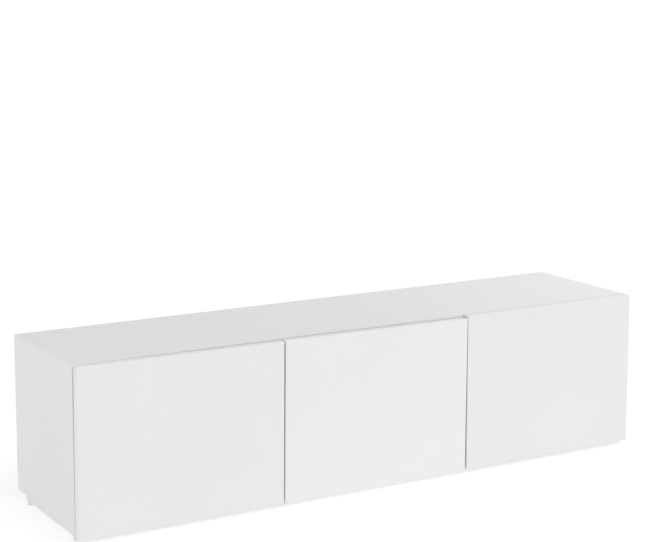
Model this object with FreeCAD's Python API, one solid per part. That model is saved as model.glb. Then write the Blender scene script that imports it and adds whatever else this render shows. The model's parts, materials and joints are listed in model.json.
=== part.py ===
import FreeCAD, Part
import math
import os

# A low, wide TV stand: a board carcass on a thin plinth, with three full-overlay doors.
# Millimetres. The origin is at the middle of the footprint, on the floor. +Z is up and the doors face -Y.

V = FreeCAD.Vector

# Driving dimensions
WIDTH = 1800.0
DEPTH = 435.0
HEIGHT = 466.0
BOARD = 18.0
SHELF_BOARD = 16.0
BACK_BOARD = 3.0
DOOR_THICK = 22.0
DOOR_SPACE = 3.0            # between a closed door and the carcass
TOP_PROUD = 1.0             # how much nearer to the doors the top panel's front edge is
DOOR_JOINT = 5.0            # between two doors
DOOR_BOTTOM = 12.0
EDGE_ROUND = 1.5            # doors
BOARD_EASE = 0.6            # free edges of the carcass boards
CARCASS_BOTTOM = 30.0
GLIDE_THICK = 12.0          # lifts the plinth level with the door bottoms
GLIDE_RADIUS = 8.5
GLIDE_NAIL = 24.0
PLINTH_BOARD = 18.0
PLINTH_INSET = 6.0
PLINTH_FRONT_SET = 15.0
PLINTH_REAR_SET = 50.0
PLINTH_SCREW = 24.0
PLINTH_WELL = 6.0           # how deep the plinth screws' heads sit
BACK_SET = 7.0
GROOVE = 6.0
GROOVE_EASE = 0.2           # each side of the back boards
OUTLET_RADIUS = 30.0
OUTLET_OPEN_RADIUS = 25.0
OUTLET_HEIGHT = 138.0
FLANGE_PROUD = 2.0          # of the outlet rings, behind the back boards
SHELF_HEIGHT = 246.0
PIN_Y = 125.0               # shelf pins, in front of and behind the middle
PIN_STEP = 32.0             # between the holes of a row
PIN_RADIUS = 2.5
CAM_Y = 150.0
CAM_FROM_END = 24.0
CAM_RADIUS = 7.5
CAM_DEEP = 12.6
DOWEL_Y = (-100.0, 0.0, 110.0)
DOWEL_RADIUS = 4.0
DOWEL_HALF = 11.0
DIVIDER_SCREW_Y = (-140.0, 60.0, 150.0)
DIVIDER_SCREW = 45.0
BACK_NAIL_HEIGHTS = (100.0, 246.0, 392.0)
FIT = 0.05                  # radial space around pins, cams and dowels

# Places worked out from them
LEFT = -WIDTH / 2
RIGHT = WIDTH / 2
FRONT = -DEPTH / 2
REAR = DEPTH / 2
DOOR_BACK = FRONT + DOOR_THICK
CARCASS_FRONT = DOOR_BACK + DOOR_SPACE
TOP_FRONT = CARCASS_FRONT - TOP_PROUD
TOP_UNDER = HEIGHT - BOARD
BOTTOM_TOP = CARCASS_BOTTOM + BOARD
PITCH = WIDTH / 3
DIVIDERS = {"left": -PITCH / 2, "right": PITCH / 2}
BACK_Y = REAR - BACK_SET - BACK_BOARD
DOOR_HEIGHT = HEIGHT - DOOR_BOTTOM
PIN_Z = SHELF_HEIGHT - SHELF_BOARD / 2 - PIN_RADIUS

# Each bay: the faces of its two uprights
BAYS = {
    "left": (LEFT + BOARD, DIVIDERS["left"] - BOARD / 2),
    "middle": (DIVIDERS["left"] + BOARD / 2, DIVIDERS["right"] - BOARD / 2),
    "right": (DIVIDERS["right"] + BOARD / 2, RIGHT - BOARD),
}

# Each door: its two edges, the edge it hangs on, how much its hung and free edges hang low,
# and the height, as a share of its own, that stays in place as it leans
DOORS = {
    "left": {"edges": (LEFT, DIVIDERS["left"] - DOOR_JOINT / 2),
             "hung": "left", "drop": (0.0, 4.0), "lean": 0.0},
    "middle": {"edges": (DIVIDERS["left"] + DOOR_JOINT / 2, DIVIDERS["right"] - DOOR_JOINT / 2),
               "hung": "left", "drop": (2.5, 8.0), "lean": 0.3},
    "right": {"edges": (DIVIDERS["right"] + DOOR_JOINT / 2, RIGHT),
              "hung": "right", "drop": (0.0, 0.0), "lean": 0.0},
}

# Cup hinge, measured from the door's hung edge (u), its front face (v) and the hinge's middle (w)
HINGE_HEIGHTS = (DOOR_BOTTOM + 92.0, HEIGHT - 90.0)
ARM_PIVOT = (30.7, 31.1)
CUP_PIVOT = (10.8, 12.8)
LINK_KNEES = ((25.5, 11.3), (32.9, 22.8))
CUP_CENTRE = 22.5
CUP_RADIUS = 17.5
CUP_DEPTH = 13.5
CUP_WALL = 0.8
FLANGE_THICK = 1.0
FLANGE_U = (3.0, 43.0)
FLANGE_HALF = 31.0
CUP_SCREW_AT = (32.0, 24.0)         # u, and w either side of the middle
EYE_RADIUS = 3.0
PIVOT_RADIUS = 1.5
LINK_THICK = 2.4
LINK_HALF = 6.0
CHEEK_IN = 6.5
CHEEK_OUT = 8.0
ARM_U = (21.0, 33.0)
ARM_V = (38.0, 98.0)
ARM_SHEET = 1.5
ARM_NECK = (27.0, 38.5)             # where the cheeks leave the channel
ARM_SCREW_V = (58.0, 88.0)
PLATE_AT = DOOR_THICK + DOOR_SPACE + 37.0
PLATE_THICK = 2.5
PLATE_SCREW_W = 16.0

# Push latch, under the top panel near each door's free edge
LATCH_FROM_EDGE = 48.0
LATCH_WIDE = 15.0
LATCH_TALL = 15.0
LATCH_LONG = 78.0
LATCH_SET = 1.0                      # behind the carcass front
EARS = ((1, 24.0), (-1, 58.0))      # side and place along the housing of its two screw ears
EAR_WIDE = 10.0
EAR_THICK = 2.5
PLUNGER_HALF = 4.0
PLUNGER_SPACE = 0.4


def box(x, y, z):
    """A block between two x, two y and two z values."""
    low = [min(pair) for pair in (x, y, z)]
    size = [abs(pair[1] - pair[0]) for pair in (x, y, z)]
    return Part.makeBox(size[0], size[1], size[2], V(*low))


def rod(start, direction, radius, length):
    return Part.makeCylinder(radius, length, V(*start), V(*direction))


def join(shapes):
    return shapes[0].multiFuse(shapes[1:]).removeSplitter()


def rounded(block, radius=EDGE_ROUND):
    return block.makeFillet(radius, block.Edges)


def eased(block, chosen, radius=BOARD_EASE):
    """Round the edges whose boxes pass a test."""
    return block.makeFillet(radius, [edge for edge in block.Edges if chosen(edge.BoundBox)])


def save(name, shape):
    solids = shape.Solids
    if not solids or not shape.isValid():
        raise ValueError(name)
    out = solids[0] if len(solids) == 1 else Part.makeCompound(solids)
    out.exportStep("parts/" + name + ".step")
    print(name, len(solids), round(out.Volume / 1000, 1))


def countersunk(head, direction, length, radius=1.9, head_radius=3.8):
    """A screw whose flat head starts at head and whose shank runs along direction, with a cross slot."""
    way = V(*direction)
    top = V(*head)
    cone = Part.makeCone(head_radius, radius, head_radius - radius, top, way)
    shank = Part.makeCylinder(radius, length - 3, top, way)
    tip = Part.makeCone(radius, 0.4, 3.0, top + way * (length - 3), way)
    return join([cone, shank, tip])


def cross_slot(head, direction):
    """The cross recess of a screw head."""
    way = V(*direction)
    bars = []
    for turn in (45, 135):
        bar = Part.makeBox(3.6, 0.7, 1.1, V(-1.8, -0.35, -0.1))
        bar.Placement = FreeCAD.Placement(V(*head), FreeCAD.Rotation(V(0, 0, 1), way))
        bar.rotate(V(*head), way, turn)
        bars.append(bar)
    return join(bars)


def screws(places, direction, length, radius=1.9, head_radius=3.8):
    """Screws at several places. Returns the finished screws and the blanks that cut their holes."""
    blanks = [countersunk(place, direction, length, radius, head_radius) for place in places]
    made = [blank.cut(cross_slot(place, direction)) for blank, place in zip(blanks, places)]
    return made, blanks


# Local hinge axes: u runs from the hung edge into the door, v from the front face to the rear
def hinge_frame(door):
    """The x of the hung edge and the sign that u has along x."""
    spec = DOORS[door]
    if spec["hung"] == "left":
        return spec["edges"][0], 1.0
    return spec["edges"][1], -1.0


def panel_offset(door):
    """u of the upright face that carries the hinge plates."""
    edge, sign = hinge_frame(door)
    face = BAYS[door][0] if sign > 0 else BAYS[door][1]
    return (face - edge) * sign


def hinge_box(door, height, u, v, w):
    edge, sign = hinge_frame(door)
    return box([edge + sign * value for value in u], [FRONT + value for value in v],
               [height + value for value in w])


def hinge_point(door, height, u, v, w):
    edge, sign = hinge_frame(door)
    return (edge + sign * u, FRONT + v, height + w)


def upright_rod(door, height, place, w, radius):
    """A rod along Z at a hinge place, between two w values."""
    start = hinge_point(door, height, place[0], place[1], w[0])
    return rod(start, (0, 0, 1), radius, w[1] - w[0])


def strip(door, height, start, end, w, thick):
    """A flat bar between two hinge places, with round ends."""
    a = V(*hinge_point(door, height, start[0], start[1], w[0]))
    b = V(*hinge_point(door, height, end[0], end[1], w[0]))
    along = b - a
    angle = math.degrees(math.atan2(along.y, along.x))
    bar = Part.makeBox(along.Length, thick, w[1] - w[0], V(0, -thick / 2, 0))
    bar.Placement = FreeCAD.Placement(a, FreeCAD.Rotation(V(0, 0, 1), angle))
    ends = [upright_rod(door, height, place, w, thick / 2) for place in (start, end)]
    return join([bar] + ends)


def hinge_cup(door, height):
    """Pressed cup with its flange and the two ears that hold the link's pin."""
    mouth = hinge_point(door, height, CUP_CENTRE, DOOR_THICK - CUP_DEPTH, 0)
    outer = rod(mouth, (0, 1, 0), CUP_RADIUS, CUP_DEPTH)
    inner = rod((mouth[0], mouth[1] + CUP_WALL, mouth[2]), (0, 1, 0), CUP_RADIUS - CUP_WALL, CUP_DEPTH + 5)
    face = (DOOR_THICK, DOOR_THICK + FLANGE_THICK)
    flange = hinge_box(door, height, FLANGE_U, face, (-FLANGE_HALF, FLANGE_HALF))
    corners = [edge for edge in flange.Edges if edge.BoundBox.YLength > FLANGE_THICK / 2]
    flange = flange.makeFillet(5.0, corners)
    shell = outer.fuse(flange).cut(inner)
    ears = []
    floor = DOOR_THICK - CUP_DEPTH + CUP_WALL
    post_u = (CUP_PIVOT[0] - 2.2, CUP_PIVOT[0] + 5.5)
    for w in ((-CHEEK_OUT, -CHEEK_IN), (CHEEK_IN, CHEEK_OUT)):
        eye = upright_rod(door, height, CUP_PIVOT, w, EYE_RADIUS)
        post = hinge_box(door, height, post_u, (floor - 0.2, CUP_PIVOT[1]), w)
        ears.append(join([eye, post]))
    # room for the link when the door is open
    relief = hinge_box(door, height, (1.0, 7.5), (DOOR_THICK - 0.8, DOOR_THICK + 2), (-CHEEK_IN, CHEEK_IN))
    cup = join([shell] + ears).cut(relief)
    return cup.cut(upright_rod(door, height, CUP_PIVOT, (-CHEEK_OUT, CHEEK_OUT), PIVOT_RADIUS))


def cup_screw_places(door, height):
    face = DOOR_THICK + FLANGE_THICK
    u, w = CUP_SCREW_AT
    return [hinge_point(door, height, u, face, side * w) for side in (-1, 1)]


def hinge_link(door, height):
    """The hooked link that swings between the arm and the cup."""
    w = (-LINK_HALF, LINK_HALF)
    stops = (CUP_PIVOT,) + LINK_KNEES + (ARM_PIVOT,)
    bars = [strip(door, height, stops[i], stops[i + 1], w, LINK_THICK) for i in range(len(stops) - 1)]
    eyes = [upright_rod(door, height, place, w, EYE_RADIUS) for place in (CUP_PIVOT, ARM_PIVOT)]
    link = join(bars + eyes)
    for place in (CUP_PIVOT, ARM_PIVOT):
        link = link.cut(upright_rod(door, height, place, w, PIVOT_RADIUS + FIT))
    return link


def pivot_pin(door, height, place):
    return upright_rod(door, height, place, (-CHEEK_OUT, CHEEK_OUT), PIVOT_RADIUS)


def hinge_arm(door, height):
    """Folded arm: a channel whose two cheeks reach forward to the arm pivot."""
    channel = hinge_box(door, height, ARM_U, ARM_V, (-CHEEK_OUT, CHEEK_OUT))
    hollow = hinge_box(door, height, (ARM_U[0] - 1, ARM_U[1] - ARM_SHEET), (ARM_V[0] - 1, ARM_V[1] + 1),
                       (-CHEEK_IN, CHEEK_IN))
    pieces = [channel.cut(hollow)]
    for w in ((-CHEEK_OUT, -CHEEK_IN), (CHEEK_IN, CHEEK_OUT)):
        pieces.append(strip(door, height, ARM_PIVOT, ARM_NECK, w, 2 * EYE_RADIUS))
    arm = join(pieces).cut(upright_rod(door, height, ARM_PIVOT, (-CHEEK_OUT, CHEEK_OUT), PIVOT_RADIUS))
    for v in ARM_SCREW_V:
        hole = hinge_point(door, height, ARM_U[1] - 2 * ARM_SHEET, v, 0)
        arm = arm.cut(rod(hole, (hinge_frame(door)[1], 0, 0), 2.2, 6))
    return arm


def hinge_plate(door, height):
    """Mounting plate: a wing plate on the upright and the block that the arm clips over."""
    face = panel_offset(door)
    wings = hinge_box(door, height, (face, face + PLATE_THICK), (PLATE_AT - 11, PLATE_AT + 11), (-26, 26))
    corners = [edge for edge in wings.Edges if edge.BoundBox.XLength > PLATE_THICK / 2]
    wings = wings.makeFillet(6.0, [edge for edge in corners if edge.BoundBox.YLength < 1])
    block = hinge_box(door, height, (face + PLATE_THICK, ARM_U[1] - ARM_SHEET - 0.3), (48, 94),
                      (-CHEEK_IN + 0.3, CHEEK_IN - 0.3))
    return join([wings, block])


def plate_screw_places(door, height):
    face = panel_offset(door) + PLATE_THICK
    return [hinge_point(door, height, face, PLATE_AT, w) for w in (-PLATE_SCREW_W, PLATE_SCREW_W)]


def arm_screws(door, height):
    """The fixing and adjusting screws on top of the arm."""
    sign = hinge_frame(door)[1]
    made = []
    for v in ARM_SCREW_V:
        head = hinge_point(door, height, ARM_U[1], v, 0)
        screw = join([rod(head, (sign, 0, 0), 3.6, 1.6), rod(head, (-sign, 0, 0), 2.0, 1.8)])
        top = (head[0] + sign * 1.6, head[1], head[2])
        made.append(screw.cut(cross_slot(top, (-sign, 0, 0))))
    return made


def free_edge(door):
    spec = DOORS[door]
    return spec["edges"][1] if spec["hung"] == "left" else spec["edges"][0]


def latch_x(door):
    return free_edge(door) + LATCH_FROM_EDGE * (-1 if DOORS[door]["hung"] == "left" else 1)


def hang(door, board):
    """Lower and turn a door board to the slight drop that it hangs with."""
    hung, free = DOORS[door]["drop"]
    board.translate(V(0, 0, -hung))
    if free > hung:
        angle = math.degrees(math.asin((free - hung) / PITCH))
        pivot = V(hinge_frame(door)[0], 0, DOOR_BOTTOM - hung + DOORS[door]["lean"] * DOOR_HEIGHT)
        board.rotate(pivot, V(0, 1, 0), angle)
    return board


def door_strike(door):
    """Steel plate that the latch's magnet holds."""
    return rod((latch_x(door), DOOR_BACK, TOP_UNDER - LATCH_TALL / 2), (0, 1, 0), 9.0, 1.2)


def door_bumpers(door):
    """Soft pads near the free edge, where the door meets the top and bottom panels."""
    inward = -1 if DOORS[door]["hung"] == "left" else 1
    pads = []
    for z, face in ((TOP_UNDER + 4.5, TOP_FRONT), (CARCASS_BOTTOM + BOARD / 2, CARCASS_FRONT)):
        start = (free_edge(door) + inward * 90, DOOR_BACK, z)
        proud = face - DOOR_BACK - 0.35
        pads.append(join([rod(start, (0, 1, 0), 4.0, proud / 2), rod(start, (0, 1, 0), 2.8, proud)]))
    return pads


def make_door(name):
    spec = DOORS[name]
    board = rounded(box(spec["edges"], (FRONT, DOOR_BACK), (DOOR_BOTTOM, HEIGHT)))
    board = hang(name, board)
    cups = [hinge_cup(name, height) for height in HINGE_HEIGHTS]
    places = [place for height in HINGE_HEIGHTS for place in cup_screw_places(name, height)]
    made, blanks = screws(places, (0, -1, 0), 14, 1.7, 3.4)
    cuts = list(blanks)
    for height in HINGE_HEIGHTS:
        mouth = hinge_point(name, height, CUP_CENTRE, DOOR_THICK - CUP_DEPTH, 0)
        cuts.append(rod(mouth, (0, 1, 0), CUP_RADIUS, CUP_DEPTH + 1))
    save("door_" + name, board.cut(Part.makeCompound(cuts)))
    cups = [cup.cut(Part.makeCompound(blanks)) for cup in cups]
    save("hinge_cups_" + name, Part.makeCompound(cups))
    save("cup_screws_" + name, Part.makeCompound(made))
    pins = [pivot_pin(name, height, CUP_PIVOT) for height in HINGE_HEIGHTS]
    save("cup_pivots_" + name, Part.makeCompound(pins))
    links = [hinge_link(name, height) for height in HINGE_HEIGHTS]
    save("hinge_links_" + name, Part.makeCompound(links))
    save("strike_plate_" + name, door_strike(name))
    save("door_bumpers_" + name, Part.makeCompound(door_bumpers(name)))


def make_latch(name):
    """The housing and the plunger with its magnet tip."""
    x = latch_x(name)
    z = TOP_UNDER - LATCH_TALL / 2
    front = CARCASS_FRONT + LATCH_SET
    housing = box((x - LATCH_WIDE / 2, x + LATCH_WIDE / 2), (front, front + LATCH_LONG),
                  (z - LATCH_TALL / 2, z + LATCH_TALL / 2))
    flat = [edge for edge in housing.Edges if edge.Vertexes[0].Point.z < z and edge.Vertexes[1].Point.z < z]
    housing = housing.makeFillet(2.0, flat)
    ears = []
    for side, along in EARS:
        y = front + along
        ears.append(box((x, x + side * (LATCH_WIDE / 2 + EAR_WIDE)), (y - EAR_WIDE / 2, y + EAR_WIDE / 2),
                        (TOP_UNDER - EAR_THICK, TOP_UNDER)))
    housing = join([housing] + ears)
    half = PLUNGER_HALF + PLUNGER_SPACE
    bore = box((x - half, x + half), (front - 1, front + LATCH_LONG - 6), (z - half, z + half))
    tip_y = DOOR_BACK + 1.5
    shaft = box((x - PLUNGER_HALF, x + PLUNGER_HALF), (tip_y + 2.0, front + LATCH_LONG - 8),
                (z - PLUNGER_HALF, z + PLUNGER_HALF))
    long_edges = [edge for edge in shaft.Edges if edge.Length > 30]
    shaft = shaft.makeFillet(1.0, long_edges)
    magnet = rod((x, tip_y, z), (0, 1, 0), 3.4, 2.0)
    save("latch_plunger_" + name, join([shaft, magnet]))
    return housing.cut(bore)


def latch_screws():
    """Screws through the ears into the top panel, and the blanks of their holes."""
    places = []
    for name in DOORS:
        for side, along in EARS:
            x = latch_x(name) + side * (LATCH_WIDE + EAR_WIDE) / 2
            places.append((x, CARCASS_FRONT + LATCH_SET + along, TOP_UNDER - EAR_THICK))
    return screws(places, (0, 0, 1), 14, 1.6, 3.2)


def make_latches():
    made, blanks = latch_screws()
    housings = [make_latch(name).cut(Part.makeCompound(blanks)) for name in DOORS]
    save("latch_housings", Part.makeCompound(housings))
    save("latch_screws", Part.makeCompound(made))


def shelf_pin_places():
    """x of the face, inward sign, y and z for every shelf pin."""
    places = []
    for low, high in BAYS.values():
        for x, sign in ((low, 1), (high, -1)):
            for y in (-PIN_Y, PIN_Y):
                places.append((x, sign, y, PIN_Z))
    return places


def system_holes(x, sign):
    """Rows of shelf holes in one upright face."""
    holes = []
    for y in (-PIN_Y, PIN_Y):
        for step in range(-2, 3):
            holes.append(rod((x, y, PIN_Z + PIN_STEP * step), (-sign, 0, 0), PIN_RADIUS, 7.5))
    return holes


def plate_holes(door):
    """Screw blanks of one door's hinge plates."""
    sign = hinge_frame(door)[1]
    places = [place for height in HINGE_HEIGHTS for place in plate_screw_places(door, height)]
    return screws(places, (-sign, 0, 0), 15, 1.9, 3.8)


def cam_sets():
    """For each cam joint: cam centre and axis, bolt start and axis."""
    sets = []
    uprights = [(LEFT + BOARD, 1), (RIGHT - BOARD, -1),
                (DIVIDERS["left"] - BOARD / 2, -1), (DIVIDERS["right"] + BOARD / 2, 1)]
    for x, sign in uprights:
        for y in (-CAM_Y, CAM_Y):
            z = TOP_UNDER - CAM_FROM_END
            sets.append({"cam": (x, y, z), "into": (-sign, 0, 0),
                         "bolt": (x - sign * BOARD / 2, y, z), "along": (0, 0, 1)})
    for face, sign in uprights[:2]:
        for y in (-CAM_Y, CAM_Y):
            x = face + sign * CAM_FROM_END
            sets.append({"cam": (x, y, CARCASS_BOTTOM), "into": (0, 0, 1),
                         "bolt": (x, y, CARCASS_BOTTOM + BOARD / 2), "along": (-sign, 0, 0)})
    return sets


def cam_lock(spec):
    body = rod(spec["cam"], spec["into"], CAM_RADIUS - FIT, CAM_DEEP - 2 * FIT)
    middle = V(*spec["bolt"])
    along = V(*spec["along"])
    start = middle - along * 8
    slot = Part.makeCylinder(3.7, 16, start, along)
    return body.cut(slot).cut(cross_slot(spec["cam"], spec["into"]))


def cam_bolt(spec):
    """Bolt with a ball head in the cam and a screw end in the next board."""
    start = V(*spec["bolt"])
    along = V(*spec["along"])
    head = Part.makeCylinder(3.4, 3, start - along * 2, along)
    neck = Part.makeCylinder(2.0, 4, start, along)
    shank = Part.makeCylinder(3.4, CAM_FROM_END - 4, start + along * 4, along)
    end = Part.makeCylinder(2.5, 11, start + along * CAM_FROM_END, along)
    return join([head, neck, shank, end])


def cam_cuts(spec):
    start = V(*spec["bolt"])
    along = V(*spec["along"])
    return [rod(spec["cam"], spec["into"], CAM_RADIUS, CAM_DEEP),
            Part.makeCylinder(3.5, CAM_FROM_END + 6, start - along * 6, along),
            Part.makeCylinder(2.5, 12, start + along * CAM_FROM_END, along)]


def dowel_places():
    """Centre and axis of each dowel."""
    places = []
    for x in (LEFT + BOARD / 2, DIVIDERS["left"], DIVIDERS["right"], RIGHT - BOARD / 2):
        for y in DOWEL_Y:
            places.append(((x, y, TOP_UNDER), (0, 0, 1)))
    for x in (DIVIDERS["left"], DIVIDERS["right"]):
        for y in DOWEL_Y:
            places.append(((x, y, BOTTOM_TOP), (0, 0, 1)))
    for x in (LEFT + BOARD, RIGHT - BOARD):
        for y in DOWEL_Y:
            places.append(((x, y, CARCASS_BOTTOM + BOARD / 2), (1, 0, 0)))
    return places


def dowel(place, along, radius=DOWEL_RADIUS - FIT, half=DOWEL_HALF):
    start = V(*place) - V(*along) * half
    return Part.makeCylinder(radius, 2 * half, start, V(*along))


def divider_screw_set():
    """Screws up through the bottom panel into the dividers, and their blanks."""
    places = [(x, y, CARCASS_BOTTOM) for x in DIVIDERS.values() for y in DIVIDER_SCREW_Y]
    return screws(places, (0, 0, 1), DIVIDER_SCREW, 2.2, 4.4)


def carcass_cuts():
    """Every hole that the boards of the carcass need."""
    cuts = [cut for spec in cam_sets() for cut in cam_cuts(spec)]
    cuts += [dowel(place, along, DOWEL_RADIUS, DOWEL_HALF + 0.5) for place, along in dowel_places()]
    for name in DOORS:
        cuts += plate_holes(name)[1]
    for low, high in BAYS.values():
        cuts += system_holes(low, 1) + system_holes(high, -1)
    cuts += latch_screws()[1]
    cuts += [back_nail(x, z) for x, z in back_nail_places()]
    cuts += divider_screw_set()[1]
    cuts += plinth_screw_set()[1]
    return Part.makeCompound(cuts)


def carcass_boards():
    """The top and bottom panels, the two sides and the two dividers, before their holes."""
    depth = (CARCASS_FRONT, REAR)
    top = box((LEFT, RIGHT), (TOP_FRONT, REAR), (TOP_UNDER, HEIGHT))
    bottom = box((LEFT + BOARD, RIGHT - BOARD), depth, (CARCASS_BOTTOM, BOTTOM_TOP))
    boards = {
        "top_panel": eased(top, lambda bounds: bounds.ZMax > HEIGHT - 1),
        "bottom_panel": eased(
            bottom, lambda bounds: bounds.YMax < CARCASS_FRONT + 1 and bounds.XLength > BOARD),
    }
    for name, x in (("left", LEFT), ("right", RIGHT - BOARD)):
        boards["side_panel_" + name] = eased(
            box((x, x + BOARD), depth, (CARCASS_BOTTOM, TOP_UNDER)),
            lambda bounds: bounds.ZMin < TOP_UNDER - 1)
    short_depth = (CARCASS_FRONT, BACK_Y - GROOVE_EASE)
    for name, x in DIVIDERS.items():
        boards["divider_" + name] = eased(
            box((x - BOARD / 2, x + BOARD / 2), short_depth, (BOTTOM_TOP, TOP_UNDER)),
            lambda bounds: bounds.YMax < CARCASS_FRONT + 1 and bounds.ZLength > BOARD)
    return boards


def make_carcass():
    holes = carcass_cuts()
    groove = box((LEFT + BOARD - GROOVE, RIGHT - BOARD + GROOVE),
                 (BACK_Y - GROOVE_EASE, BACK_Y + BACK_BOARD + GROOVE_EASE),
                 (BOTTOM_TOP - GROOVE, TOP_UNDER + GROOVE))
    for name, board in carcass_boards().items():
        if not name.startswith("divider"):
            board = board.cut(groove)
        save(name, board.cut(holes))
    cams = cam_sets()
    save("cam_locks", Part.makeCompound([cam_lock(spec) for spec in cams]))
    save("cam_bolts", Part.makeCompound([cam_bolt(spec) for spec in cams]))
    save("dowels", Part.makeCompound([dowel(place, along) for place, along in dowel_places()]))
    save("divider_screws", Part.makeCompound(divider_screw_set()[0]))


def make_hinge_arms():
    """The fixed half of every hinge: plates, arms, pins and screws."""
    plate_made = []
    for name in DOORS:
        made, blanks = plate_holes(name)
        plate_made += made
        inward = (-hinge_frame(name)[1], 0, 0)
        pilots = [rod(hinge_point(name, height, ARM_U[1], v, 0), inward, 2.1, 4)
                  for height in HINGE_HEIGHTS for v in ARM_SCREW_V]
        holes = Part.makeCompound(blanks + pilots)
        plates = [hinge_plate(name, height).cut(holes) for height in HINGE_HEIGHTS]
        save("hinge_plates_" + name, Part.makeCompound(plates))
    places = [(name, height) for name in DOORS for height in HINGE_HEIGHTS]
    save("hinge_arms", Part.makeCompound([hinge_arm(name, height) for name, height in places]))
    pins = [pivot_pin(name, height, ARM_PIVOT) for name, height in places]
    save("arm_pivots", Part.makeCompound(pins))
    heads = [screw for name, height in places for screw in arm_screws(name, height)]
    save("arm_screws", Part.makeCompound(heads))
    save("plate_screws", Part.makeCompound(plate_made))


def plinth_rows():
    """y of the middle of the front rail and of the rear rail."""
    return (CARCASS_FRONT + PLINTH_FRONT_SET + PLINTH_BOARD / 2,
            REAR - PLINTH_REAR_SET - PLINTH_BOARD / 2)


def plinth_screw_places():
    columns = (LEFT + 60, DIVIDERS["left"] + 70, DIVIDERS["right"] - 70, RIGHT - 60)
    return [(x, y, GLIDE_THICK + PLINTH_WELL) for x in columns for y in plinth_rows()]


def plinth_screw_set():
    return screws(plinth_screw_places(), (0, 0, 1), PLINTH_SCREW)


def make_plinth():
    """Four rails under the bottom panel, the glides under them and what fixes both."""
    y_front = CARCASS_FRONT + PLINTH_FRONT_SET
    y_rear = REAR - PLINTH_REAR_SET
    low, high = GLIDE_THICK, CARCASS_BOTTOM
    x_out = (LEFT + PLINTH_INSET, RIGHT - PLINTH_INSET)
    x_in = (x_out[0] + PLINTH_BOARD, x_out[1] - PLINTH_BOARD)
    rails = {
        "plinth_side_left": box((x_out[0], x_in[0]), (y_front, y_rear), (low, high)),
        "plinth_side_right": box((x_in[1], x_out[1]), (y_front, y_rear), (low, high)),
        "plinth_front": box(x_in, (y_front, y_front + PLINTH_BOARD), (low, high)),
        "plinth_rear": box(x_in, (y_rear - PLINTH_BOARD, y_rear), (low, high)),
    }
    made, blanks = plinth_screw_set()
    wells = [rod((x, y, low - 1), (0, 0, 1), 5.0, PLINTH_WELL + 1) for x, y, z in plinth_screw_places()]
    columns = (x_out[0] + PLINTH_BOARD / 2, DIVIDERS["left"], DIVIDERS["right"], x_out[1] - PLINTH_BOARD / 2)
    spots = [(x, y) for x in columns for y in plinth_rows()]
    nail_seat = 1.2
    shanks = [rod((x, y, nail_seat), (0, 0, 1), 1.0, GLIDE_NAIL) for x, y in spots]
    holes = Part.makeCompound(blanks + wells + shanks)
    for name, rail in rails.items():
        save(name, eased(rail, lambda bounds: bounds.ZMax < low + 1).cut(holes))
    glides = []
    for x, y in spots:
        pad = rod((x, y, 0), (0, 0, 1), GLIDE_RADIUS, GLIDE_THICK)
        pad = pad.makeFillet(0.8, [edge for edge in pad.Edges if edge.BoundBox.ZMax < 0.1])
        recess = rod((x, y, -1), (0, 0, 1), 2.6, nail_seat + 1)
        glides.append(pad.cut(recess).cut(rod((x, y, 0), (0, 0, 1), 1.0, GLIDE_THICK)))
    nails = []
    for x, y in spots:
        head = rod((x, y, 0.5), (0, 0, 1), 2.4, 0.7)
        nails.append(join([head, rod((x, y, nail_seat), (0, 0, 1), 1.0 - FIT, GLIDE_NAIL)]))
    save("floor_glides", Part.makeCompound(glides))
    save("glide_nails", Part.makeCompound(nails))
    save("plinth_screws", Part.makeCompound(made))


def make_shelves():
    for name, (low, high) in BAYS.items():
        board = box((low + 1, high - 1), (CARCASS_FRONT + 12, BACK_Y - 22),
                    (SHELF_HEIGHT - SHELF_BOARD / 2, SHELF_HEIGHT + SHELF_BOARD / 2))
        save("shelf_" + name, rounded(board, 0.6))
    pins = []
    for x, sign, y, z in shelf_pin_places():
        inner = rod((x - sign * 7.0, y, z), (sign, 0, 0), 2.45, 16.0)
        collar = rod((x, y, z - 0.3), (sign, 0, 0), 2.8, 0.9)
        pins.append(join([inner, collar.common(box((x - 20, x + 20), (y - 9, y + 9), (z - 9, z + 2.45)))]))
    save("shelf_pins", Part.makeCompound(pins))


def back_nail_places():
    """x and z of the nails that hold the back boards to the dividers."""
    columns = [post + side * BOARD / 4 for post in DIVIDERS.values() for side in (-1, 1)]
    return [(x, z) for x in columns for z in BACK_NAIL_HEIGHTS]


def back_nail(x, z):
    head = rod((x, BACK_Y + BACK_BOARD, z), (0, 1, 0), 2.5, 0.8)
    return join([head, rod((x, BACK_Y - 15, z), (0, 1, 0), 0.8, 15 + BACK_BOARD)])


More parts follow.
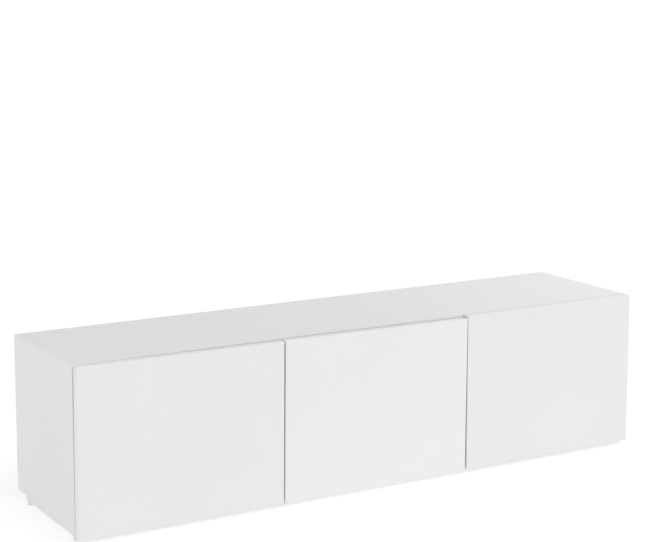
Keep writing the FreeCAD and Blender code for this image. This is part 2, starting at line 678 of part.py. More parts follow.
def make_backs():
    """Thin back boards in the grooves, with a ringed cable outlet in each."""
    spans = {
        "left": (LEFT + BOARD - GROOVE + 0.5, DIVIDERS["left"] - 0.4),
        "middle": (DIVIDERS["left"] + 0.4, DIVIDERS["right"] - 0.4),
        "right": (DIVIDERS["right"] + 0.4, RIGHT - BOARD + GROOVE - 0.5),
    }
    z_span = (BOTTOM_TOP - GROOVE + 0.5, TOP_UNDER + GROOVE - 0.5)
    nails = [back_nail(x, z) for x, z in back_nail_places()]
    rings = []
    for name, span in spans.items():
        middle = sum(BAYS[name]) / 2
        board = box(span, (BACK_Y, BACK_Y + BACK_BOARD), z_span)
        board = board.cut(rod((middle, BACK_Y - 1, OUTLET_HEIGHT), (0, 1, 0), OUTLET_RADIUS, 6))
        tube = rod((middle, BACK_Y - 3, OUTLET_HEIGHT), (0, 1, 0), OUTLET_RADIUS - 0.1, BACK_BOARD + 3)
        seat = (middle, BACK_Y + BACK_BOARD, OUTLET_HEIGHT)
        flange = rod(seat, (0, 1, 0), OUTLET_RADIUS + 4, FLANGE_PROUD)
        rim = [edge for edge in flange.Edges if edge.BoundBox.YMin > BACK_Y + BACK_BOARD + 1]
        flange = flange.makeFillet(1.2, rim)
        hole = rod((middle, BACK_Y - 5, OUTLET_HEIGHT), (0, 1, 0), OUTLET_OPEN_RADIUS, 20)
        rings.append(join([tube, flange]).cut(hole))
        save("back_panel_" + name, board.cut(Part.makeCompound(nails)))
    save("cable_grommets", Part.makeCompound(rings))
    save("back_nails", Part.makeCompound(nails))


def main():
    os.makedirs("parts", exist_ok=True)
    for name in DOORS:
        make_door(name)
    make_latches()
    make_carcass()
    make_hinge_arms()
    make_plinth()
    make_shelves()
    make_backs()


main()
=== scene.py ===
import json
import math

import bpy
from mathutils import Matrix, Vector


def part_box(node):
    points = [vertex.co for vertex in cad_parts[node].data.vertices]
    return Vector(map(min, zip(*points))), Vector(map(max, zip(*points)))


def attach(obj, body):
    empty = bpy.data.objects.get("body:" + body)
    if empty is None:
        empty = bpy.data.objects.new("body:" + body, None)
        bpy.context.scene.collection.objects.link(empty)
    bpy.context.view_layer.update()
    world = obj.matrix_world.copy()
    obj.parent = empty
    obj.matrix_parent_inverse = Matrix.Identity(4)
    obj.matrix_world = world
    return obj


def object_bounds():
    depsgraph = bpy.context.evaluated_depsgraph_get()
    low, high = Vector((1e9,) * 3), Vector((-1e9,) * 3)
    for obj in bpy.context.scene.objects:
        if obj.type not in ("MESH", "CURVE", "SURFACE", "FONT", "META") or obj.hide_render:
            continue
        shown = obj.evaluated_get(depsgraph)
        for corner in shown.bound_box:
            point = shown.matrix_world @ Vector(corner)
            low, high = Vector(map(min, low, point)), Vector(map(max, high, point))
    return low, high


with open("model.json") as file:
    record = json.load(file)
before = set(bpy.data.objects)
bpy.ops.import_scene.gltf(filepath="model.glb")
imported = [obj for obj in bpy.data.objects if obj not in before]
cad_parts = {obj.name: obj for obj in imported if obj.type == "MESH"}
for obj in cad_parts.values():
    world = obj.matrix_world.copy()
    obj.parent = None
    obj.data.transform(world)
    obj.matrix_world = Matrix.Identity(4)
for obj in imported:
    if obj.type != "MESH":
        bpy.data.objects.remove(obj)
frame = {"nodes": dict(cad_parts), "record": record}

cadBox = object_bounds()
nodes = frame["nodes"]
doorNames = ("left", "middle", "right")
boardStarts = ("top_panel", "bottom_panel", "side_panel", "divider_left", "divider_right", "plinth_side",
               "plinth_front", "plinth_rear", "shelf_left", "shelf_middle", "shelf_right")
boardNames = [name for name in nodes if name.startswith(boardStarts)]
print("frame loaded:", len(nodes), "nodes,", len(boardNames), "boards")


def deselectAll():
    if bpy.context.object and bpy.context.object.mode != "OBJECT":
        bpy.ops.object.mode_set(mode="OBJECT")
    bpy.ops.object.select_all(action="DESELECT")


def setInputs(node, values):
    for name, value in values.items():
        node.inputs[name].default_value = value


def grey(level, warm=0.0):
    return (level, level * (1 - warm), level * (1 - 2 * warm), 1)


# a new material, its node tree, its shader and its object coordinates
def startFinish(name, constants):
    material = bpy.data.materials.new(name)
    material.use_nodes = True
    tree = material.node_tree
    shader = tree.nodes["Principled BSDF"]
    setInputs(shader, constants)
    place = tree.nodes.new("ShaderNodeTexCoord").outputs["Object"]
    return material, tree, shader, place


def mapping(tree, place, stretch=(1, 1, 1), shift=(0, 0, 0)):
    node = tree.nodes.new("ShaderNodeMapping")
    setInputs(node, {"Scale": stretch, "Location": shift})
    tree.links.new(place, node.inputs["Vector"])
    return node.outputs["Vector"]


def noise(tree, place, scale, detail=3.0, rough=0.5, stretch=None):
    if stretch:
        place = mapping(tree, place, stretch)
    node = tree.nodes.new("ShaderNodeTexNoise")
    setInputs(node, {"Scale": scale, "Detail": detail, "Roughness": rough})
    tree.links.new(place, node.inputs["Vector"])
    return node.outputs["Fac"]


def cells(tree, place, scale, output="Distance"):
    node = tree.nodes.new("ShaderNodeTexVoronoi")
    node.inputs["Scale"].default_value = scale
    tree.links.new(place, node.inputs["Vector"])
    return node.outputs[output]


# from one colour to another as the source rises from low to high
def ramp(tree, source, first, last, low=0.3, high=0.7):
    node = tree.nodes.new("ShaderNodeValToRGB")
    for element, position, colour in zip(node.color_ramp.elements, (low, high), (first, last)):
        element.position = position
        element.color = colour
    tree.links.new(source, node.inputs["Fac"])
    return node.outputs["Color"]


def remap(tree, source, low, high, fromLow=0.0, fromHigh=1.0):
    node = tree.nodes.new("ShaderNodeMapRange")
    setInputs(node, {"From Min": fromLow, "From Max": fromHigh, "To Min": low, "To Max": high})
    tree.links.new(source, node.inputs["Value"])
    return node.outputs["Result"]


# a noise, whose values crowd round its middle, spread over a pair of roughnesses
def roughness(tree, source, pair):
    return remap(tree, source, pair[0], pair[1], 0.3, 0.7)


def calculate(tree, operation, *sources):
    node = tree.nodes.new("ShaderNodeMath")
    node.operation = operation
    for socket, source in zip(node.inputs, sources):
        if isinstance(source, (int, float)):
            socket.default_value = source
        else:
            tree.links.new(source, socket)
    return node.outputs["Value"]


# a Mix node has sockets of the same name for each kind of value, so its colours are picked by number
def blendColours(tree, amount, first, second, mode="MIX"):
    node = tree.nodes.new("ShaderNodeMix")
    node.data_type = "RGBA"
    node.blend_type = mode
    for socket, source in ((node.inputs[6], first), (node.inputs[7], second), (node.inputs[0], amount)):
        if isinstance(source, (tuple, float)):
            socket.default_value = source
        else:
            tree.links.new(source, socket)
    return node.outputs[2]


def splitAxes(tree, place):
    node = tree.nodes.new("ShaderNodeSeparateXYZ")
    tree.links.new(place, node.inputs["Vector"])
    return node.outputs


def roundedNormal(tree, radius):
    node = tree.nodes.new("ShaderNodeBevel")
    node.samples = 4
    node.inputs["Radius"].default_value = radius
    return node.outputs["Normal"]


edgeDot = {"sharp": 0.75, "flat": 0.98}


# 1 at an edge of the piece, 0 on its flat faces
def edgeShare(tree, radius):
    straight = tree.nodes.new("ShaderNodeNewGeometry").outputs["Normal"]
    dot = tree.nodes.new("ShaderNodeVectorMath")
    dot.operation = "DOT_PRODUCT"
    tree.links.new(roundedNormal(tree, radius), dot.inputs[0])
    tree.links.new(straight, dot.inputs[1])
    return remap(tree, dot.outputs["Value"], 1.0, 0.0, edgeDot["sharp"], edgeDot["flat"])


# the colour blended towards another over the piece's edges
def edgeColour(tree, share, amount, colour, worn):
    return blendColours(tree, calculate(tree, "MULTIPLY", share, amount), colour, worn)


def bump(tree, height, distance, strength=1.0, under=None):
    node = tree.nodes.new("ShaderNodeBump")
    setInputs(node, {"Strength": strength, "Distance": distance})
    tree.links.new(height, node.inputs["Height"])
    if under:
        tree.links.new(under, node.inputs["Normal"])
    return node.outputs["Normal"]


# 1 where a surface lies deeper inside the piece's box than its skin: the walls of drilled holes and grooves
def insideBox(tree, place, name, skin):
    low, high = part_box(name)
    centre = (low + high) / 2
    half = [(high[axis] - low[axis]) / 2 - skin[axis] for axis in range(3)]
    shift = [-centre[axis] / half[axis] for axis in range(3)]
    absolute = tree.nodes.new("ShaderNodeVectorMath")
    absolute.operation = "ABSOLUTE"
    tree.links.new(mapping(tree, place, [1 / size for size in half], shift), absolute.inputs[0])
    x, y, z = splitAxes(tree, absolute.outputs["Vector"])
    furthest = calculate(tree, "MAXIMUM", calculate(tree, "MAXIMUM", x, y), z)
    return calculate(tree, "LESS_THAN", furthest, 1.0)


def wear(name, material):
    piece = nodes[name] if name in nodes else bpy.data.objects[name]
    piece.data.materials.clear()
    piece.data.materials.append(material)


rawCore = {"light": (0.55, 0.40, 0.25, 1), "dark": (0.30, 0.20, 0.11, 1), "chipScale": 420.0,
           "chipStretch": (1, 1, 2.2), "dustScale": 1500.0, "dustTone": 0.75, "dustShare": 0.7}


# sawn particle board, seen in the holes
def coreColour(tree, place):
    chips = cells(tree, mapping(tree, place, rawCore["chipStretch"]), rawCore["chipScale"], "Color")
    chips = ramp(tree, chips, rawCore["dark"], rawCore["light"], 0.2, 0.8)
    dust = ramp(tree, noise(tree, place, rawCore["dustScale"]), grey(rawCore["dustTone"]), grey(1.0))
    return blendColours(tree, rawCore["dustShare"], chips, dust, "MULTIPLY")


# a lowest roughness of 0.27 left faint outlined patches on the doors
# painted light: the three doors share one lacquer, and their separate tones paint the middle door more brightly lit
# than the outer two
lacquer = {"litTones": {"left": 0.864, "middle": 0.886, "right": 0.858}, "darker": 0.985, "cloudScale": 2.2,
           "speckScale": 900.0, "speckTone": 0.97, "speckShare": 0.3, "edge": 0.0022, "edgeHighlightTone": 0.95,
           "edgeAmount": 0.35, "edgeRough": 0.06, "smearScale": 9.0, "rough": (0.28, 0.36), "peelScale": 230.0,
           "peelDepth": 0.00003, "peelStrength": 0.6, "skin": (0.006, 0.0008, 0.010)}


# sprayed satin lacquer: faint orange peel and clouds, a painted highlight over the edges, and a base tone per door
# that paints the light falling on each door
def makeLacquer(door, look):
    material, tree, shader, place = startFinish("doorLacquerLitCopy_" + door, {
        "Specular IOR Level": 0.5, "Coat Weight": 0.3, "Coat Roughness": 0.16, "Coat IOR": 1.5})
    # painted light: this door's own base tone stands in for how brightly it is lit
    tone = look["litTones"][door]
    colour = ramp(tree, noise(tree, place, look["cloudScale"], 2.0), grey(tone * look["darker"], 0.0030),
                  grey(tone, 0.0015))
    specks = ramp(tree, noise(tree, place, look["speckScale"], 1.0), grey(look["speckTone"]), grey(1.0), 0.30, 0.42)
    colour = blendColours(tree, look["speckShare"], colour, specks, "MULTIPLY")
    edge = edgeShare(tree, look["edge"])
    # painted highlight: the door's edges are blended towards a brighter grey
    colour = edgeColour(tree, edge, look["edgeAmount"], colour, grey(look["edgeHighlightTone"]))
    colour = blendColours(tree, insideBox(tree, place, "door_" + door, look["skin"]), colour,
                          coreColour(tree, place))
    tree.links.new(colour, shader.inputs["Base Color"])
    rough = roughness(tree, noise(tree, place, look["smearScale"], 5.0, 0.6), look["rough"])
    rough = calculate(tree, "ADD", rough, calculate(tree, "MULTIPLY", edge, look["edgeRough"]))
    tree.links.new(rough, shader.inputs["Roughness"])
    peel = noise(tree, place, look["peelScale"], 2.0)
    tree.links.new(bump(tree, peel, look["peelDepth"], look["peelStrength"]), shader.inputs["Normal"])
    return material


for door in doorNames:
    wear("door_" + door, makeLacquer(door, lacquer))

board = {"tone": 0.862, "darker": 0.98, "cloudScale": 1.7, "pearlScale": 1700.0, "pearlTone": 0.97,
         "pearlShare": 0.5, "pearlDepth": 0.000014, "pearlStrength": 0.5, "band": 0.0010, "bandLine": 0.00012,
         "lineShare": 0.16, "lineTone": grey(0.45, 0.03), "edge": 0.0014, "edgeHighlightTone": 0.94, "edgeAmount": 0.25,
         "rubbedScale": 6.0, "rough": (0.34, 0.44), "skin": 0.0009}


# lacquered board: fine pearl grain, a banded front edge with its hairline joint, a painted highlight over the
# edges, raw core in the holes
def makeBoard(node, look):
    material, tree, shader, place = startFinish("boardLacquer_" + node, {"Specular IOR Level": 0.45})
    tint = ramp(tree, noise(tree, place, look["cloudScale"], 2.0), grey(look["tone"] * look["darker"], 0.0035),
                grey(look["tone"], 0.002))
    pearl = noise(tree, place, look["pearlScale"], 2.0)
    glints = ramp(tree, pearl, grey(look["pearlTone"]), grey(1.0), 0.35, 0.6)
    colour = blendColours(tree, look["pearlShare"], tint, glints, "MULTIPLY")
    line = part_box(node)[0].y + look["band"]
    fromLine = calculate(tree, "ABSOLUTE", calculate(tree, "SUBTRACT", splitAxes(tree, place)["Y"], line))
    joint = remap(tree, fromLine, look["lineShare"], 0.0, 0.0, look["bandLine"])
    colour = blendColours(tree, joint, colour, look["lineTone"])
    # painted highlight: the board's edges are blended towards a brighter grey
    colour = edgeColour(tree, edgeShare(tree, look["edge"]), look["edgeAmount"], colour, grey(look["edgeHighlightTone"]))
    colour = blendColours(tree, insideBox(tree, place, node, [look["skin"]] * 3), colour,
                          coreColour(tree, place))
    tree.links.new(colour, shader.inputs["Base Color"])
    rubbed = noise(tree, place, look["rubbedScale"], 5.0, 0.65)
    tree.links.new(roughness(tree, rubbed, look["rough"]), shader.inputs["Roughness"])
    tree.links.new(bump(tree, pearl, look["pearlDepth"], look["pearlStrength"]), shader.inputs["Normal"])
    return material


for name in boardNames:
    wear(name, makeBoard(name, board))

hardboard = {"tone": 0.85, "darker": 0.975, "cloudScale": 1.9, "rawLight": (0.44, 0.32, 0.21, 1),
             "rawDark": (0.33, 0.235, 0.15, 1), "fibreScale": 420.0, "fibreStretch": (1.0, 1.0, 0.75),
             "blotchScale": 5.0, "blotchTone": 0.88, "coat": 0.0004, "coatRough": 0.42, "rawRough": 0.78,
             "weaveScale": 900.0, "weaveDepth": 0.00006, "weaveStrength": 0.7}


# thin back board: white coating inside, raw pressed fibre behind
def makeHardboard(look):
    material, tree, shader, place = startFinish("backBoard", {"Specular IOR Level": 0.35})
    white = ramp(tree, noise(tree, place, look["cloudScale"], 2.0), grey(look["tone"] * look["darker"], 0.004),
                 grey(look["tone"], 0.002))
    fibre = ramp(tree, noise(tree, place, look["fibreScale"], 6.0, 0.8, look["fibreStretch"]), look["rawDark"],
                 look["rawLight"])
    blotch = ramp(tree, noise(tree, place, look["blotchScale"], 3.0), grey(look["blotchTone"]), grey(1.0))
    fibre = blendColours(tree, 1.0, fibre, blotch, "MULTIPLY")
    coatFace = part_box("back_panel_middle")[0].y + look["coat"]
    raw = calculate(tree, "GREATER_THAN", splitAxes(tree, place)["Y"], coatFace)
    tree.links.new(blendColours(tree, raw, white, fibre), shader.inputs["Base Color"])
    tree.links.new(remap(tree, raw, look["coatRough"], look["rawRough"]), shader.inputs["Roughness"])
    weave = calculate(tree, "MULTIPLY", cells(tree, place, look["weaveScale"]), raw)
    tree.links.new(bump(tree, weave, look["weaveDepth"], look["weaveStrength"]), shader.inputs["Normal"])
    return material


backBoard = makeHardboard(hardboard)
for door in doorNames:
    wear("back_panel_" + door, backBoard)
print("board finishes done")

metals = {
    "nickelSteel": {"tone": (0.77, 0.76, 0.74), "rough": (0.20, 0.36), "grain": (1, 1, 14),
                    "grainScale": 260.0, "depth": 0.000010, "edge": 0.0005, "stain": (0.95, 0.94, 0.92)},
    "zincSteel": {"tone": (0.62, 0.64, 0.68), "rough": (0.30, 0.48), "grain": (1, 1, 1),
                  "grainScale": 700.0, "depth": 0.000012, "edge": 0.0004, "stain": (0.96, 0.93, 0.84)},
    "castZinc": {"tone": (0.50, 0.51, 0.53), "rough": (0.42, 0.60), "grain": (1, 1, 1),
                 "grainScale": 1600.0, "depth": 0.000035, "edge": 0.0005, "stain": (0.90, 0.90, 0.92)},
}
allMetals = {"stainScale": 55.0, "brighter": 1.22, "edgeAmount": 0.7, "handledScale": 90.0, "grainStrength": 0.8}


# plated or cast metal: tarnish clouds, a drawn or cast grain, brighter worn edges
def makeMetal(name, look):
    material, tree, shader, place = startFinish(name, {"Metallic": 1.0, "Specular IOR Level": 0.5})
    stained = tuple(one * two for one, two in zip(look["tone"], look["stain"])) + (1,)
    bright = tuple(min(1.0, channel * allMetals["brighter"]) for channel in look["tone"]) + (1,)
    colour = ramp(tree, noise(tree, place, allMetals["stainScale"], 4.0, 0.6), stained, look["tone"] + (1,),
                  0.35, 0.62)
    colour = edgeColour(tree, edgeShare(tree, look["edge"]), allMetals["edgeAmount"], colour, bright)
    tree.links.new(colour, shader.inputs["Base Color"])
    grain = noise(tree, place, look["grainScale"], 4.0, 0.6, look["grain"])
    touched = calculate(tree, "MULTIPLY", noise(tree, place, allMetals["handledScale"], 3.0), 0.5)
    handled = calculate(tree, "ADD", calculate(tree, "MULTIPLY", grain, 0.5), touched)
    tree.links.new(remap(tree, handled, look["rough"][0], look["rough"][1], 0.32, 0.68),
                   shader.inputs["Roughness"])
    soft = roundedNormal(tree, look["edge"])
    tree.links.new(bump(tree, grain, look["depth"], allMetals["grainStrength"], soft), shader.inputs["Normal"])
    return material


finishes = {name: makeMetal(name, look) for name, look in metals.items()}

plastics = {
    "whitePlastic": {"light": grey(0.83, 0.004), "dark": grey(0.79, 0.007), "rough": (0.36, 0.50),
                     "depth": 0.000016},
    "greyPlastic": {"light": (0.40, 0.41, 0.42, 1), "dark": (0.36, 0.37, 0.385, 1), "rough": (0.46, 0.62),
                    "depth": 0.000030},
}
allPlastics = {"flowScale": 38.0, "flowLow": 0.35, "flowHigh": 0.65, "roughScale": 140.0, "grainScale": 2600.0,
               "grainStrength": 0.8, "edge": 0.0006}


# moulded plastic: spark-eroded grain, flow clouds, softened edges
def makePlastic(name, look):
    material, tree, shader, place = startFinish(name, {"Specular IOR Level": 0.5})
    flow = noise(tree, place, allPlastics["flowScale"], 2.0, 0.4)
    tree.links.new(ramp(tree, flow, look["dark"], look["light"], allPlastics["flowLow"], allPlastics["flowHigh"]),
                   shader.inputs["Base Color"])
    tree.links.new(roughness(tree, noise(tree, place, allPlastics["roughScale"], 4.0), look["rough"]),
                   shader.inputs["Roughness"])
    grain = noise(tree, place, allPlastics["grainScale"], 2.0)
    soft = roundedNormal(tree, allPlastics["edge"])
    tree.links.new(bump(tree, grain, look["depth"], allPlastics["grainStrength"], soft), shader.inputs["Normal"])
    return material


finishes.update({name: makePlastic(name, look) for name, look in plastics.items()})

clearPad = {"tone": (0.86, 0.88, 0.88, 1), "milky": grey(0.78, 0.004), "hazeScale": 320.0, "rough": (0.16, 0.32),
            "grainScale": 500.0, "grainDepth": 0.00002, "grainStrength": 0.5}


# soft see-through pads with a milky haze
def makeClearRubber(look):
    material, tree, shader, place = startFinish("clearRubber", {"IOR": 1.44, "Transmission Weight": 0.75})
    haze = noise(tree, place, look["hazeScale"], 3.0)
    tree.links.new(ramp(tree, haze, look["milky"], look["tone"]), shader.inputs["Base Color"])
    tree.links.new(roughness(tree, haze, look["rough"]), shader.inputs["Roughness"])
    grain = noise(tree, place, look["grainScale"], 2.0)
    tree.links.new(bump(tree, grain, look["grainDepth"], look["grainStrength"]), shader.inputs["Normal"])
    return material


finishes["clearRubber"] = makeClearRubber(clearPad)

beechLook = {"light": (0.70, 0.50, 0.32, 1), "dark": (0.55, 0.36, 0.21, 1), "flecks": (0.42, 0.25, 0.13, 1),
             "grainScale": 180.0, "grainStretch": (1.0, 1.0, 0.12), "fleckScale": 800.0,
             "fleckStretch": (1, 1, 0.3), "fleckNear": 0.05, "fleckFar": 0.18, "fleckShare": 0.6,
             "rough": (0.55, 0.75), "depth": 0.00008, "strength": 0.7}


# turned beech: long grain with darker ray flecks
def makeBeech(look):
    material, tree, shader, place = startFinish("beech", {"Specular IOR Level": 0.3})
    grain = noise(tree, place, look["grainScale"], 5.0, 0.6, look["grainStretch"])
    colour = ramp(tree, grain, look["dark"], look["light"], 0.3, 0.65)
    flecks = cells(tree, mapping(tree, place, look["fleckStretch"]), look["fleckScale"])
    flecks = remap(tree, flecks, 1.0, 0.0, look["fleckNear"], look["fleckFar"])
    flecks = calculate(tree, "MULTIPLY", flecks, look["fleckShare"])
    tree.links.new(blendColours(tree, flecks, colour, look["flecks"]), shader.inputs["Base Color"])
    tree.links.new(remap(tree, grain, look["rough"][0], look["rough"][1]), shader.inputs["Roughness"])
    tree.links.new(bump(tree, grain, look["depth"], look["strength"]), shader.inputs["Normal"])
    return material


finishes["beech"] = makeBeech(beechLook)

magnet = {"long": 0.0021, "light": (0.34, 0.34, 0.36, 1), "dark": grey(0.27), "cloudScale": 400.0,
          "rough": (0.28, 0.46), "roughScale": 700.0, "grainStrength": 0.7, "edge": 0.0005}


# the latch plunger is white plastic with a dark plated magnet at its front
def makePlunger(look):
    material, tree, shader, place = startFinish("latchPlunger", {"Specular IOR Level": 0.5})
    plastic = plastics["whitePlastic"]
    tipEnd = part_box("latch_plunger_left")[0].y + look["long"]
    tip = calculate(tree, "LESS_THAN", splitAxes(tree, place)["Y"], tipEnd)
    flow = ramp(tree, noise(tree, place, allPlastics["flowScale"], 2.0), plastic["dark"], plastic["light"],
                allPlastics["flowLow"], allPlastics["flowHigh"])
    plated = ramp(tree, noise(tree, place, look["cloudScale"], 4.0), look["dark"], look["light"])
    tree.links.new(blendColours(tree, tip, flow, plated), shader.inputs["Base Color"])
    tree.links.new(tip, shader.inputs["Metallic"])
    tree.links.new(roughness(tree, noise(tree, place, look["roughScale"], 3.0), look["rough"]),
                   shader.inputs["Roughness"])
    grain = noise(tree, place, allPlastics["grainScale"])
    soft = roundedNormal(tree, look["edge"])
    tree.links.new(bump(tree, grain, plastic["depth"], look["grainStrength"], soft), shader.inputs["Normal"])
    return material


finishes["latchPlunger"] = makePlunger(magnet)

slotFinish = {"nickel_steel": "nickelSteel", "zinc_steel": "zincSteel", "cast_zinc": "castZinc",
              "grey_plastic": "greyPlastic", "white_plastic": "whitePlastic", "clear_rubber": "clearRubber",
              "beech": "beech"}
slots = {part["node"]: part["material_slot"] for part in frame["record"]["subparts"]}
for name in nodes:
    if name.startswith("latch_plunger"):
        wear(name, finishes["latchPlunger"])
    elif slots[name] in slotFinish:
        wear(name, finishes[slotFinish[slots[name]]])
print("hardware finishes done")


# edit mode with only the wanted faces selected
def chooseFaces(piece, wanted):
    bpy.ops.object.mode_set(mode="EDIT")
    bpy.ops.mesh.select_mode(type="FACE")
    bpy.ops.mesh.select_all(action="DESELECT")
    bpy.ops.object.mode_set(mode="OBJECT")
    for face in piece.data.polygons:
        face.select = wanted(face)
    bpy.ops.object.mode_set(mode="EDIT")


# edit mode with only the wanted edges selected
def chooseEdges(piece, wanted):
    bpy.ops.object.mode_set(mode="EDIT")
    bpy.ops.mesh.select_mode(type="EDGE")
    bpy.ops.mesh.select_all(action="DESELECT")
    bpy.ops.object.mode_set(mode="OBJECT")
    points = piece.data.vertices
    for edge in piece.data.edges:
        first, last = (points[number].co for number in edge.vertices)
        edge.select = wanted(first, last)
    bpy.ops.object.mode_set(mode="EDIT")


# the side of a cover that is seen, before it is turned to its place
def facesOut(face):
    return face.normal.x > 0.99


def facesBoard(face):
    return face.normal.x < -0.99


# the piece copied with its own mesh, turned about Z and moved
def placeCopy(source, name, body, at, turn, finish):
    piece = source.copy()
    piece.data = source.data.copy()
    piece.name = name
    bpy.context.scene.collection.objects.link(piece)
    deselectAll()
    piece.select_set(True)
    bpy.context.view_layer.objects.active = piece
    piece.rotation_euler = (0, 0, turn)
    piece.location = at
    bpy.ops.object.transform_apply(location=True, rotation=True, scale=True)
    wear(name, finish)
    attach(piece, body)


camCover = {"radius": 0.0088, "proud": 0.0010, "rim": 0.0005, "crown": 0.0022, "lift": 0.00025,
            "dimple": 0.0013, "smooth": 40, "fromTop": 0.024, "fromMiddle": 0.150}


# a press-in cover for a cam, modelled once: its back lies on the board and it faces +X
def makeCamCover(look):
    deselectAll()
    bpy.ops.mesh.primitive_cylinder_add(vertices=48, radius=look["radius"], depth=look["proud"],
                                        location=(look["proud"] / 2, 0, 0), rotation=(0, math.pi / 2, 0))
    cover = bpy.context.object
    bpy.ops.object.transform_apply(location=True, rotation=True, scale=True)
    chooseFaces(cover, facesOut)
    bpy.ops.mesh.bevel(offset=look["rim"], segments=3, affect="EDGES")
    chooseFaces(cover, facesOut)
    bpy.ops.mesh.inset(thickness=look["crown"])
    bpy.ops.transform.translate(value=(look["lift"], 0, 0))
    bpy.ops.mesh.inset(thickness=look["radius"] - look["rim"] - look["crown"] - look["dimple"])
    bpy.ops.mesh.inset(thickness=look["lift"])
    bpy.ops.transform.translate(value=(-look["lift"], 0, 0))
    bpy.ops.object.mode_set(mode="OBJECT")
    bpy.ops.object.shade_smooth_by_angle(angle=math.radians(look["smooth"]))
    return cover


coverShape = makeCamCover(camCover)
covered = [(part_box("side_panel_left")[1].x, 0.0), (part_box("divider_left")[0].x, math.pi),
           (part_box("divider_right")[1].x, 0.0), (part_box("side_panel_right")[0].x, math.pi)]
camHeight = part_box("top_panel")[0].z - camCover["fromTop"]
for number, (x, turn) in enumerate(covered, 1):
    for row, y in (("front", -camCover["fromMiddle"]), ("rear", camCover["fromMiddle"])):
        placeCopy(coverShape, f"cam_cover_{row}_{number}", "carcass", (x, y, camHeight), turn,
                  finishes["whitePlastic"])
bpy.data.objects.remove(coverShape)
print("cam covers done")

armCap = {"thick": 0.0012, "wide": 0.0150, "rear": 0.0985, "front": 0.0635, "lift": 0.0018, "corner": 0.0045,
          "rim": 0.0004, "border": 0.0020, "dish": 0.0003, "smooth": 35, "armFace": 0.033, "linkHalf": 0.006,
          "halfJoint": 0.0025}


# the snap-on cover over the rear of a hinge arm, modelled once: it lies along +Y and faces +X
def makeArmCap(look):
    def isCrown(face):
        return facesOut(face) and face.center.x > look["lift"] + look["thick"] * 0.9

    length = look["rear"] - look["front"]
    deselectAll()
    bpy.ops.mesh.primitive_cube_add(size=1, location=(look["lift"] + look["thick"] / 2, length / 2, 0),
                                    scale=(look["thick"], length, look["wide"]))
    cap = bpy.context.object
    bpy.ops.object.transform_apply(location=True, rotation=True, scale=True)
    chooseEdges(cap, lambda first, last: abs(first.x - last.x) > look["thick"] / 2)
    bpy.ops.mesh.bevel(offset=look["corner"], segments=8, affect="EDGES")
    chooseFaces(cap, facesBoard)
    bpy.ops.mesh.inset(thickness=look["thick"])
    bpy.ops.mesh.extrude_region_move(TRANSFORM_OT_translate={"value": (look["thick"] / 2, 0, 0)})
    chooseFaces(cap, isCrown)
    bpy.ops.mesh.bevel(offset=look["rim"], segments=3, affect="EDGES")
    chooseFaces(cap, isCrown)
    bpy.ops.mesh.inset(thickness=look["border"])
    bpy.ops.mesh.inset(thickness=look["dish"])
    bpy.ops.transform.translate(value=(-look["dish"], 0, 0))
    bpy.ops.object.mode_set(mode="OBJECT")
    bpy.ops.object.shade_smooth_by_angle(angle=math.radians(look["smooth"]))
    return cap


# each door's hinge line, and the way from it to the door's middle: the middle door leans out of its own line,
# which is half a door joint from the middle of the divider
dividerMiddle = (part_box("divider_left")[0].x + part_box("divider_left")[1].x) / 2
hungEdges = {"left": (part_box("door_left")[0].x, 1), "middle": (dividerMiddle + armCap["halfJoint"], 1),
             "right": (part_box("door_right")[1].x, -1)}
capShape = makeArmCap(armCap)
for door, (hung, side) in hungEdges.items():
    low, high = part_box("hinge_links_" + door)
    turn, start = (0.0, armCap["front"]) if side > 0 else (math.pi, armCap["rear"])
    for level, z in (("lower", low.z + armCap["linkHalf"]), ("upper", high.z - armCap["linkHalf"])):
        at = (hung + side * armCap["armFace"], cadBox[0].y + start, z)
        placeCopy(capShape, f"hinge_cap_{level}_{door}", "carcass", at, turn,
                  finishes["nickelSteel"])
bpy.data.objects.remove(capShape)
print("hinge caps done")

floorLook = {"size": 600.0, "tone": 0.62, "darker": 0.99, "cloudScale": 0.6, "glow": 0.50}


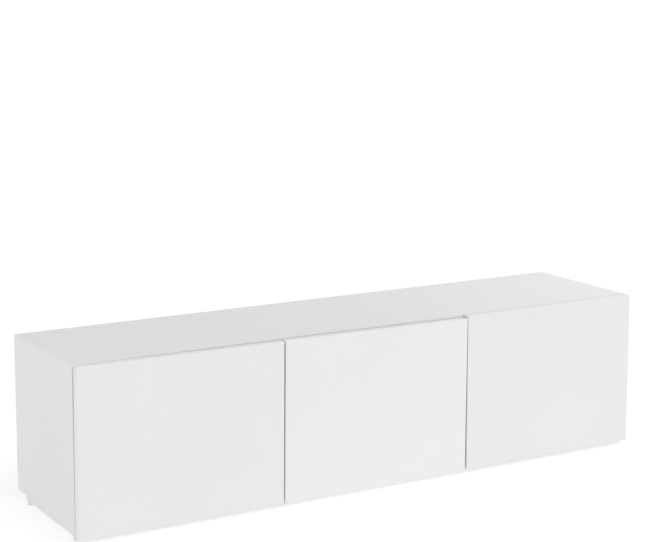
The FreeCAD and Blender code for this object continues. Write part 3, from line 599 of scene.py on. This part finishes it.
# a plain pale floor, far larger than the view, that glows a little so that it stays evenly white
def makeFloor(look):
    deselectAll()
    bpy.ops.mesh.primitive_plane_add(size=look["size"], location=(0, 0, 0))
    floor = bpy.context.object
    floor.name = "studioFloor"
    material, tree, shader, place = startFinish("paleFloor", {
        "Roughness": 0.7, "Specular IOR Level": 0.1, "Emission Color": (1, 1, 1, 1),
        "Emission Strength": look["glow"]})
    colour = ramp(tree, noise(tree, place, look["cloudScale"], 2.0), grey(look["tone"] * look["darker"]),
                  grey(look["tone"]))
    tree.links.new(colour, shader.inputs["Base Color"])
    floor.data.materials.append(material)


makeFloor(floorLook)

studio = {"air": 0.63, "sunPower": 0.80, "sunSoftness": 60.0, "sunFrom": (0.12, -0.42, 1.0),
          "boxAt": (1.25, -0.1, 1.35), "boxSize": 1.1, "boxPower": 2.3}


def hang(name, data):
    holder = bpy.data.objects.new(name, data)
    bpy.context.scene.collection.objects.link(holder)
    return holder


# even white air, one very soft high light, and a softbox that lifts the right end of the top
def makeStudio(look):
    world = bpy.data.worlds.new("studioAir")
    bpy.context.scene.world = world
    world.use_nodes = True
    setInputs(world.node_tree.nodes["Background"], {"Color": (1, 1, 1, 1), "Strength": look["air"]})
    sun = bpy.data.lights.new("keyLight", "SUN")
    sun.energy = look["sunPower"]
    sun.angle = math.radians(look["sunSoftness"])
    hang("keyLight", sun).rotation_euler = (-Vector(look["sunFrom"])).to_track_quat("-Z", "Y").to_euler()
    softbox = bpy.data.lights.new("softbox", "AREA")
    softbox.size = look["boxSize"]
    softbox.energy = look["boxPower"]
    hang("softbox", softbox).location = look["boxAt"]


makeStudio(studio)

view = {"at": (-2.4791, -4.1237, 1.4992), "turn": 30.463, "down": 8.317, "sensor": 36.0, "lens": 95.27,
        "rise": -0.110}
camera = hang("camera", bpy.data.cameras.new("camera"))
camera.location = view["at"]
camera.rotation_euler = (math.radians(90 - view["down"]), 0, math.radians(-view["turn"]))
camera.data.sensor_width = view["sensor"]
camera.data.lens = view["lens"]
camera.data.shift_y = view["rise"]
bpy.context.scene.camera = camera
bpy.context.scene.view_settings.view_transform = "Standard"
print("floor, light and camera done")
